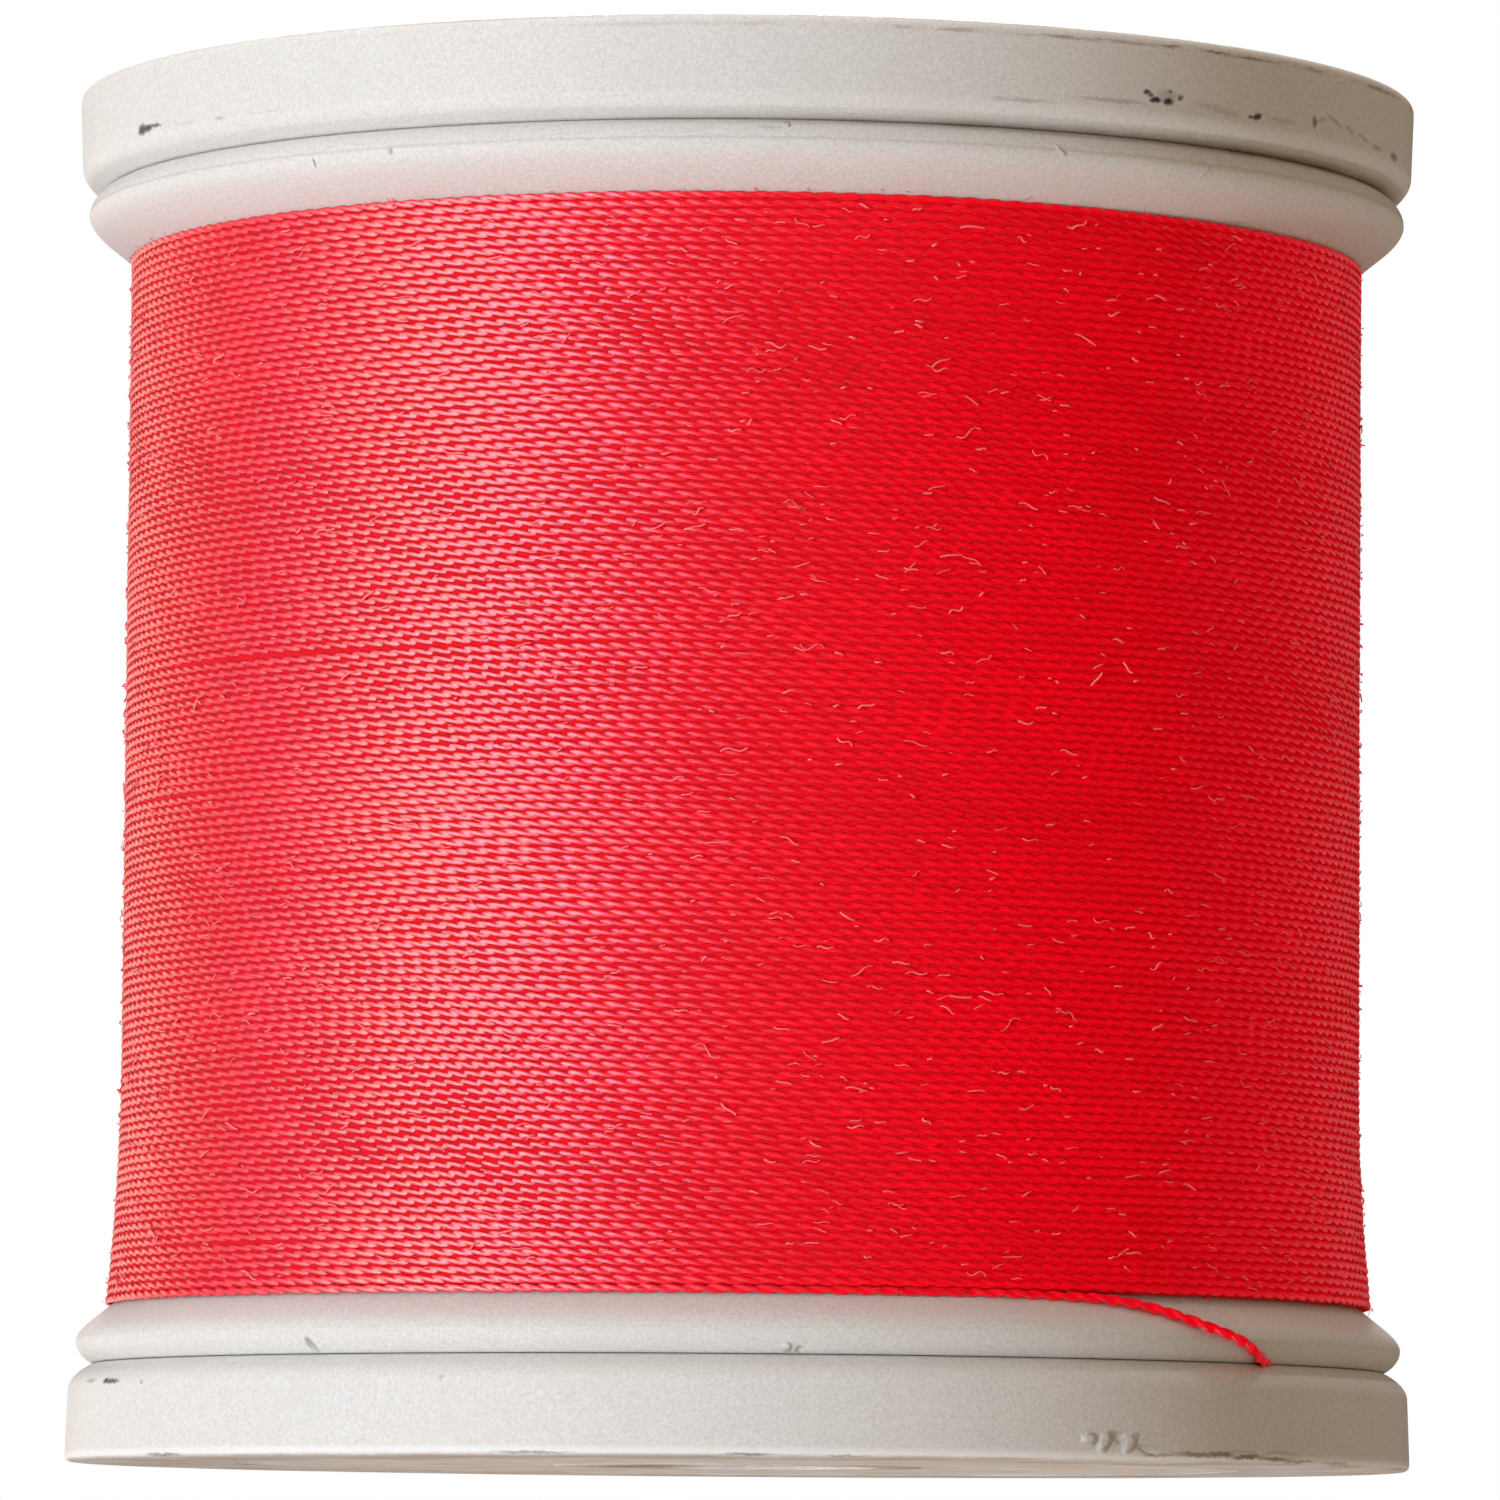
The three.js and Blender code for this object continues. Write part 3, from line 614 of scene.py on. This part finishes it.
caps, flanges, labels = cap_parts(), flange_parts(), label_parts()
weighted(piece("bottom_cap_shell", caps, PLASTIC, "bottom_snap_cap", ["bottom_cap"]))
top_caps, top_flanges, top_labels = ([*map(turned_over, parts)] for parts in (caps, flanges, labels))
weighted(piece("top_cap_shell", top_caps, PLASTIC, "top_snap_cap", ["top_cap"]))
weighted(piece("lower_flange_ring", flanges, PLASTIC, "spool", ["lower_flange"]))
weighted(piece("upper_flange_ring", top_flanges, PLASTIC, "spool", ["upper_flange"]))
weighted(piece("barrel_tubes", barrel_parts(), PLASTIC, "spool", ["barrel"]))
weighted(piece("bottom_paper", labels, PAPER, "bottom_snap_cap", ["bottom_label"]))
weighted(piece("top_paper", top_labels, PAPER, "top_snap_cap", ["top_label"]))

# The winding. Its surface follows the silhouettes in the photograph.
PITCH = 0.322
HALF_TWIST = 0.8025  # so that the plies of neighbouring turns lie brick fashion
RIDGE = 0.170  # the strand's largest radius
PLY_OFFSET, PLY_RADIUS = 0.41 * RIDGE, 0.59 * RIDGE
FLATTENED = 0.45  # how far the wound strands keep their height
STRAND_INSET = 0.077  # surface to the strands' centres
START_DEPTH = 0.3  # of the strand's first end under the surface
CORE_RISE = 0.02  # of the core above the strands' centres
SURFACE = 23.52  # the winding's radius at its upper end
WIDENING, WIDENS_FROM, WIDENS_OVER = 0.03, 45, 28
FLARE, FLARE_FROM, FLARE_OVER = 0.50, 5.96, 9
MEAN_RADIUS = 23.3
TURNS = 124.0
TAIL_ANGLE = -70.0
Z_LOW = 6.02
Z_HIGH = Z_LOW + PITCH * (TURNS - 0.5)
BANDS = 7
UV_STRIPS = 66
PLY_LINES = np.radians([-60, -24, 24, 60, 90])
SECTION = np.radians([-100, -60, -20, 20, 60, 100])


def waves(size, count, seed, round_the_axis, along):
    """A smooth field over angle and height, made of a few waves, about -size to size."""
    usual_peak = 1.6
    draw = np.random.default_rng(seed)
    turns = draw.integers(-round_the_axis, round_the_axis + 1, count)
    rises = draw.uniform(-along, along, count)
    shifts = draw.uniform(0, 2 * math.pi, count)
    return lambda theta, z: size * (sum(
        np.sin(k * theta + m * z + s) for k, m, s in zip(turns, rises, shifts)
    ) / math.sqrt(count / 2) / usual_peak)


crowding = waves(0.045, 14, 1, 7, 1.3)
bulge = waves(0.009, 12, 2, 5, 0.9)
fine_bulge = waves(0.007, 16, 3, 40, 5.0)
twist_drift = waves(0.55, 14, 4, 6, 0.5)
thickness = waves(0.07, 18, 5, 60, 9.0)
slip = waves(0.22, 24, 6, 12, 9.0)
# Rows that part a little: angle in degrees, height, half width in degrees, how far they part
PARTINGS = [
    (-136, 29.5, 18, 0.07), (-156, 24.6, 9, 0.05), (-140, 7.87, 11, 0.045), (-104, 29.4, 14, 0.03),
    (-128, 21.4, 7, 0.035), (-72, 40.2, 9, 0.025), (40, 33.0, 18, 0.06), (120, 17.5, 14, 0.05),
    (80, 26.0, 12, 0.04),
]
PARTING_REACH = 0.9  # up and down from where rows part


def winding_surface(z):
    z = np.asarray(z, float)
    body = SURFACE + WIDENING * np.clip((WIDENS_FROM - z) / WIDENS_OVER, 0, 1)
    return body + FLARE * np.clip(1 - (z - FLARE_FROM) / FLARE_OVER, 0, 1) ** 2


def parted(theta, z):
    """How far rows move up where they part."""
    moved = np.zeros_like(z)
    for angle, height, half_width, gap in PARTINGS:
        round_way = np.degrees(np.angle(np.exp(1j * (theta - math.radians(angle))))) / half_width
        side = np.where(z > height, 1.0, -1.0)
        moved += side * gap * np.exp(-np.abs(z - height) / PARTING_REACH) * np.exp(-round_way**2)
    return moved


def ply_radius(delta):
    """The strand's outline at an angle from a ply's ridge, for two round plies pressed together."""
    shifted = PLY_OFFSET * np.abs(np.cos(delta))
    return shifted + np.sqrt(PLY_RADIUS**2 - (PLY_OFFSET * np.sin(delta)) ** 2)


def wound_places(phase):
    """Angle, height, radius and relative thickness of the wound strand at a phase of its twist."""
    length = np.clip(phase * HALF_TWIST / math.pi, 0, TURNS * 2 * math.pi * MEAN_RADIUS)
    turned = length / MEAN_RADIUS
    rough_theta = math.radians(TAIL_ANGLE) - 2 * math.pi * TURNS + turned
    rough_z = Z_HIGH - PITCH * np.clip(turned / (2 * math.pi) - 0.5, 0, None)
    slide = twist_drift(rough_theta, rough_z) + slip(rough_theta, rough_z)
    theta = rough_theta + slide / MEAN_RADIUS
    z = rough_z + crowding(theta, rough_z) * np.clip((rough_z - Z_LOW) / 2, 0, 1) + parted(theta, rough_z)
    centre = winding_surface(rough_z) - STRAND_INSET
    centre = centre + bulge(theta, rough_z) + fine_bulge(theta, rough_z)
    # The strand comes up out of the winding in its first half turn
    centre = centre - START_DEPTH * np.clip(1 - turned / math.pi, 0, 1) ** 1.5
    return theta, z, centre, 1 + thickness(theta, rough_z)


def strand_uv(lines, across, strips):
    """Texture places for a long strand's faces, cut into strips that lie above one another."""
    edge, end = 0.04, 0.002  # left free along each strip and at its ends
    per_strip = -(-lines // strips)
    line, side = np.meshgrid(np.arange(lines), np.arange(across), indexing="ij")
    strip, along = line // per_strip, line % per_strip
    corners = []
    for d_line, d_side in ((0, 0), (1, 0), (1, 1), (0, 1)):
        u = (along + d_line) / per_strip
        v = (strip + edge + (1 - 2 * edge) * (side + d_side) / across) / strips
        corners.append(np.stack([end + (1 - 2 * end) * u, v], -1))
    return np.stack(corners, 2).reshape(-1, 2)


def strand_faces(lines, ring):
    line, side = np.meshgrid(np.arange(lines), np.arange(ring - 1), indexing="ij")
    first = line * ring + side
    return np.stack([first, first + ring, first + ring + 1, first + 1], -1).reshape(-1, 4)


def wound_band(first, last):
    """The wound strand from one of its cross lines to another."""
    line = np.arange(first, last + 1)
    phase_of_line = (line // len(PLY_LINES)) * math.pi + PLY_LINES[line % len(PLY_LINES)]
    phase = phase_of_line[:, None] - SECTION[None, :]
    theta, z, centre, scale = wound_places(phase)
    outline = ply_radius(phase_of_line)[:, None] * scale
    r = centre + FLATTENED * outline * np.cos(SECTION)
    z = z + outline * np.sin(SECTION)
    points = np.stack([r * np.cos(theta), r * np.sin(theta), z], -1).reshape(-1, 3)
    return points, strand_faces(last - first, len(SECTION))


line_count = int(TURNS * 2 * math.pi * MEAN_RADIUS / HALF_TWIST * len(PLY_LINES)) + 8
edges = np.linspace(-4, line_count, BANDS + 1).astype(int)
for k in range(BANDS):
    band = wound_band(edges[k], edges[k + 1])
    uv = strand_uv(edges[k + 1] - edges[k], len(SECTION) - 1, UV_STRIPS)
    piece(f"thread_turns_{k + 1}", [band], THREAD, "spool", ["thread_outer_layer"], uv)


def core_parts():
    """The layers under the outer one, which show dark between its turns."""
    margin, bevel = 0.3, 0.1
    z = np.linspace(Z_LOW + margin, Z_HIGH - margin, 260)
    r = winding_surface(z) - STRAND_INSET + CORE_RISE
    inner, foot = BARREL + SEAT_GAP, FLANGE_HIGH + SEAT_GAP
    low = [(inner, foot), (FLANK_END, foot), (r[0] - bevel, Z_LOW + bevel)]
    high = [(r[-1] - bevel, Z_HIGH - bevel), (FLANK_END, HEIGHT - foot), (inner, HEIGHT - foot)]
    return [lathe([*low, *zip(r, z), *high], steps=160)]


piece("thread_core", core_parts(), DEEP_THREAD, "spool", ["thread_inner_layers"])

# The tail, which leaves the last turn, comes down over the bead and goes into the slot


def around(degrees, r, z):
    return (r * math.cos(math.radians(degrees)), r * math.sin(math.radians(degrees)), z)


def smooth_path(points, per_span=40):
    """Points along a smooth curve through the given ones."""
    p = np.array(points)
    p = np.vstack([2 * p[0] - p[1], p, 2 * p[-1] - p[-2]])
    t = np.linspace(0, 1, per_span, endpoint=False)[:, None]
    spans = []
    for a, b, c, d in zip(p[:-3], p[1:-2], p[2:-1], p[3:]):
        squared, cubed = 2 * a - 5 * b + 4 * c - d, 3 * b - a - 3 * c + d
        spans.append(0.5 * (2 * b + (c - a) * t + squared * t**2 + cubed * t**3))
    return np.vstack([*spans, p[-2:-1]])


def frames(path):
    """The way a path runs, the way out from the axis, and the third way, at each of its points."""
    forward = np.gradient(path, axis=0)
    forward /= np.linalg.norm(forward, axis=1, keepdims=True)
    out = path * (1, 1, 0)
    out = out - (out * forward).sum(1, keepdims=True) * forward
    out /= np.linalg.norm(out, axis=1, keepdims=True)
    return forward, out, np.cross(out, forward)


TAIL_LIFT = 0.2  # of its middle over what it lies on
TAIL_SWELL = 0.27  # how much thicker it is where it is loose
SLOT_Z = FLANGE_LOW - TAIL_LIFT


def on_flank(degrees, r):
    """A place on the lower flange's flank, lifted square to it."""
    z = FLANK_Z + (GROOVE - r) / FLANK_SLOPE
    return around(degrees, r + TAIL_LIFT * 0.62, z + TAIL_LIFT * 0.78)


def tail_parts():
    start_r = float(winding_surface(Z_LOW)) - STRAND_INSET - 0.04
    route = [
        around(-76, start_r, Z_LOW), around(-67, start_r, Z_LOW), around(-62, start_r + 0.03, Z_LOW - 0.05),
        on_flank(-56.5, 24.06), on_flank(-51.8, GROOVE - 0.06),
        around(-47.4, BEAD + TAIL_LIFT * 0.6, BEAD_Z + 0.4), around(-43.4, BEAD + TAIL_LIFT, BEAD_Z - 0.1),
        around(-40.6, BEAD - 0.1, BEAD_Z - 0.58),
        around(-38.4, GROOVE + TAIL_LIFT * 0.5, FLANGE_LOW - TAIL_LIFT * 0.7), around(-33, 23.92, SLOT_Z),
        around(-20, 23.44, SLOT_Z), around(0, 23.08, SLOT_Z), around(22, 22.84, SLOT_Z),
    ]
    path = smooth_path(route)
    _, out, up = frames(path)
    steps = np.concatenate([[0], np.cumsum(np.linalg.norm(np.diff(path, axis=0), axis=1))])
    ring = np.radians(np.arange(-180, 181, 30))
    lines = np.arange(-12, int(steps[-1] / HALF_TWIST * len(PLY_LINES)) + 14)
    phase_of_line = (lines // len(PLY_LINES)) * math.pi + PLY_LINES[lines % len(PLY_LINES)]
    at = np.clip((phase_of_line[:, None] - ring) * HALF_TWIST / math.pi, 0, steps[-1])
    # It is looser and thicker between the winding and the slot
    loose = np.clip((at - 3) / 6, 0, 1) * np.clip((22 - at) / 4, 0, 1)
    outline = (ply_radius(phase_of_line)[:, None] * (1 + TAIL_SWELL * loose))[..., None]

    def pick(values):
        return np.stack([np.interp(at, steps, values[:, k]) for k in range(3)], -1)

    points = pick(path) + outline * (pick(out) * np.cos(ring)[:, None] + pick(up) * np.sin(ring)[:, None])
    # Pressed flat between the lips of the flange and the cap, and clear of both
    clear = 0.004
    in_slot = (np.hypot(points[..., 0], points[..., 1]) < GROOVE + 0.1) & (at > 12)
    pressed = np.clip(points[..., 2], CAP_LIP + clear, FLANGE_LIP - clear)
    points[..., 2] = np.where(in_slot, pressed, points[..., 2])
    return [(points.reshape(-1, 3), strand_faces(len(lines) - 1, len(ring)))]


piece("thread_end", tail_parts(), THREAD, "spool", ["thread_tail"])

# Loose fibres that stand off the thread


def fibre_parts(count, theta, z, length, lift, width, seed, lean=0.5, curl=1.0):
    """Fine curved tubes on the winding's surface, in one part."""
    draw = np.random.default_rng(seed)
    u = np.linspace(-0.5, 0.5, 7)[None, :, None]
    angle = draw.normal(0, lean, (count, 1, 1)) + math.pi * draw.integers(0, 2, (count, 1, 1))
    size = length[:, None, None]
    bend, wiggle = draw.normal(0, 0.45 * curl, (2, count, 1, 1))
    x = size * u
    y = size * (bend * (u**2 - 0.25) + wiggle * 0.35 * np.sin(2 * math.pi * u))
    dx, dz = x * np.cos(angle) - y * np.sin(angle), x * np.sin(angle) + y * np.cos(angle)
    one_end = draw.uniform(0, 1, (count, 1, 1)) < 0.5
    rise = lift[:, None, None] * np.where(one_end, u + 0.5, 1 - 4 * u**2)
    height = z[:, None, None] + dz
    r = winding_surface(height) + 0.005 + rise
    turn = theta[:, None, None] + dx / MEAN_RADIUS
    path = np.concatenate([r * np.cos(turn), r * np.sin(turn), height], -1)
    forward = np.gradient(path, axis=1)
    forward /= np.linalg.norm(forward, axis=-1, keepdims=True)
    out = path * (1, 1, 0)
    out = out - (out * forward).sum(-1, keepdims=True) * forward
    out /= np.linalg.norm(out, axis=-1, keepdims=True)
    side = np.cross(out, forward)
    taper = width[:, None, None] * (1 - 1.2 * np.abs(u) ** 3)
    corners = [path + taper * (out * math.cos(a) + side * math.sin(a)) for a in np.radians([90, 210, 330])]
    points = np.stack(corners, 2)
    n = points.shape[1]
    ring, side_of = np.meshgrid(np.arange(n - 1), np.arange(3), indexing="ij")
    near, far = ring * 3 + side_of, ring * 3 + (side_of + 1) % 3
    first = (np.arange(count) * n * 3)[:, None, None]
    faces = np.stack([near, far, far + 3, near + 3], -1).reshape(-1, 4)[None] + first
    return points.reshape(-1, 3), faces.reshape(-1, 4)


def scattered_fibres():
    count = 3600
    theta = RANDOM.uniform(-math.pi, math.pi, count)
    z = RANDOM.uniform(Z_LOW + 0.4, Z_HIGH - 0.4, count)
    length = RANDOM.gamma(3.0, 0.12, count).clip(0.15, 1.0)
    lift = RANDOM.uniform(0.01, 0.05, count) + 0.1 * RANDOM.random(count) ** 8
    width = RANDOM.uniform(0.018, 0.05, count)
    return fibre_parts(count, theta, z, length, lift, width, 11, 0.28, 0.4)


def edge_fibres():
    count = 150
    upper = RANDOM.random(count) < 0.6
    theta = RANDOM.uniform(-math.pi, math.pi, count)
    length = RANDOM.gamma(3.0, 0.1, count).clip(0.12, 0.8)
    z = np.where(upper, Z_HIGH + 0.06 + 0.16 * RANDOM.random(count), Z_LOW + 0.1 - 0.1 * RANDOM.random(count))
    lift = RANDOM.uniform(0.03, 0.15, count)
    return fibre_parts(count, theta, z, length, lift, RANDOM.uniform(0.007, 0.016, count), 12, 0.8)


piece("thread_fuzz", [scattered_fibres()], FUZZ, "spool", ["thread_outer_layer"])
piece("thread_hairs", [edge_fibres()], THREAD, "spool", ["thread_outer_layer"])

# Floor, lights and background


FLOOR_RADIUS, FLOOR_Z = 0.7, -0.0004  # metres
FLOOR_FADE = 0.25, 0.68  # where it begins and ends to fade into the white


def make_floor():
    """A pale floor that shows from above only, so that the photograph's low camera sees past it."""
    mesh = bpy.data.meshes.new("floor")
    angles = np.linspace(0, 2 * math.pi, 64, endpoint=False)
    ring = [(FLOOR_RADIUS * math.cos(a), FLOOR_RADIUS * math.sin(a), FLOOR_Z) for a in angles]
    mesh.from_pydata(ring, [], [list(range(len(ring)))])
    floor = bpy.data.objects.new("floor", mesh)
    bpy.context.scene.collection.objects.link(floor)
    made = bpy.data.materials.new("pale_floor")
    made.use_nodes = True
    tree = made.node_tree
    tree.nodes.clear()
    place = put(tree, "ShaderNodeTexCoord").outputs["Object"]
    fade = ramp(tree, vector_calc(tree, "LENGTH", place, output="Value"), *FLOOR_FADE)
    seen = put(tree, "ShaderNodeLightPath").outputs["Is Camera Ray"]
    below = put(tree, "ShaderNodeNewGeometry").outputs["Backfacing"]
    shown = product(tree, seen, calc(tree, "SUBTRACT", 1.0, calc(tree, "MAXIMUM", below, fade)))
    surface = put(tree, "ShaderNodeBsdfDiffuse", {"Color": (0.86, 0.855, 0.845, 1)}).outputs[0]
    clear = put(tree, "ShaderNodeBsdfTransparent").outputs[0]
    blended = put(tree, "ShaderNodeMixShader", {0: shown, 1: clear, 2: surface}).outputs[0]
    put(tree, "ShaderNodeOutputMaterial", {"Surface": blended})
    mesh.materials.append(made)


def make_sun(name, towards, strength, angle, colour=(1, 1, 1)):
    """A distant light towards a direction from the spool, and as many degrees wide as its angle."""
    data = bpy.data.lights.new(name, "SUN")
    data.energy, data.angle, data.color = strength, math.radians(angle), colour
    light = bpy.data.objects.new(name, data)
    light.rotation_mode = "QUATERNION"
    light.rotation_quaternion = Vector(towards).to_track_quat("Z", "Y")
    bpy.context.scene.collection.objects.link(light)
    return light


PANEL_DISTANCE = 1.5  # metres


def make_panel(name, towards, strength, width, height, colour=(1, 1, 1)):
    """A rectangular light, its width and height in degrees as the spool sees it."""
    distance, half = PANEL_DISTANCE, math.radians(height / 2)
    data = bpy.data.lights.new(name, "AREA")
    data.shape, data.color = "RECTANGLE", colour
    data.size, data.size_y = 2 * distance * math.tan(math.radians(width / 2)), 2 * distance * math.tan(half)
    spread = math.tan(half) / (half + math.sin(half) * math.cos(half))
    data.energy = strength * 2 * math.pi * distance**2 * spread
    light = bpy.data.objects.new(name, data)
    light.location = Vector(towards) * distance + Vector((0, 0, HEIGHT / 2 * MM))
    light.rotation_mode = "QUATERNION"
    light.rotation_quaternion = Vector(towards).to_track_quat("Z", "Y")
    light.visible_camera = False
    bpy.context.scene.collection.objects.link(light)
    return light


def make_world():
    """Warm light from all sides. The camera sees white instead, and nothing reflects it."""
    world = bpy.data.worlds.new("studio")
    world.use_nodes = True
    tree = world.node_tree
    tree.nodes.clear()
    seen = put(tree, "ShaderNodeLightPath").outputs["Is Camera Ray"]
    soft = put(tree, "ShaderNodeBackground", {"Color": (0.35, 0.273, 0.203, 1), "Strength": 1.0}).outputs[0]
    white = put(tree, "ShaderNodeBackground", {"Color": (1, 1, 1, 1), "Strength": 1.0}).outputs[0]
    blended = put(tree, "ShaderNodeMixShader", {0: seen, 1: soft, 2: white}).outputs[0]
    put(tree, "ShaderNodeOutputWorld", {"Surface": blended})
    world.cycles_visibility.glossy = False
    bpy.context.scene.world = world


def direction(azimuth, elevation):
    """Towards an azimuth from the camera's side, positive to its right, and an elevation."""
    a, e = math.radians(azimuth), math.radians(elevation)
    return math.sin(a) * math.cos(e), -math.cos(a) * math.cos(e), math.sin(e)


make_floor()
make_world()
COOL = (0.83, 0.91, 1)
make_sun("key", direction(-46, -6), strength=1.6, angle=14, colour=COOL)
make_panel("tall_key", direction(-46, -2), strength=1.16, width=14, height=100, colour=COOL)
make_sun("back", direction(180, 30), strength=1.7, angle=6)
make_sun("top", direction(180, 88), strength=1.3, angle=8)
make_sun("bounce", direction(0, -89), strength=0.8, angle=8)
# Lights from behind that only shine on what they graze
left = make_sun("left_panel", direction(-140, -5), strength=1.0, angle=40, colour=(1, 0.8, 0.65))
right = make_sun("right_panel", direction(145, -5), strength=0.1, angle=30)
left.visible_diffuse = right.visible_diffuse = False
# The photograph shows the red stronger than the plastic's light allows, so these lights fall on the thread
# alone. Shines: azimuth, strength, width in degrees and colour. Reds: azimuth and strength.
SHINES = [
    (-38, 1.5, 12, (1, 0.15, 0.8)), (-54, 3.1, 14, (1, 0.95, 0.85)), (-72, 1.7, 16, (1, 1, 0.7)),
    (-92, 0.9, 24, (1, 0.5, 1)), (110, 0.2, 40, (1, 0.4, 0.9)),
]
REDS = [(48, 1.0), (100, 0.35)]
thread_pieces = bpy.data.collections.new("lit_as_thread")
for name in [o.name for o in bpy.data.objects if o.name.startswith("thread_") and "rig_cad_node" not in o]:
    thread_pieces.objects.link(bpy.data.objects[name])
for azimuth, strength, width, colour in SHINES:
    shine = make_panel(f"shine_{azimuth}", direction(azimuth, -3), strength, width, height=90, colour=colour)
    shine.visible_diffuse = False
    shine.light_linking.receiver_collection = thread_pieces
for azimuth, strength in REDS:
    red = make_sun(f"red_{azimuth}", direction(azimuth, -4), strength, angle=50, colour=(1, 0, 0))
    red.light_linking.receiver_collection = thread_pieces
bpy.context.scene.view_settings.view_transform = "Standard"
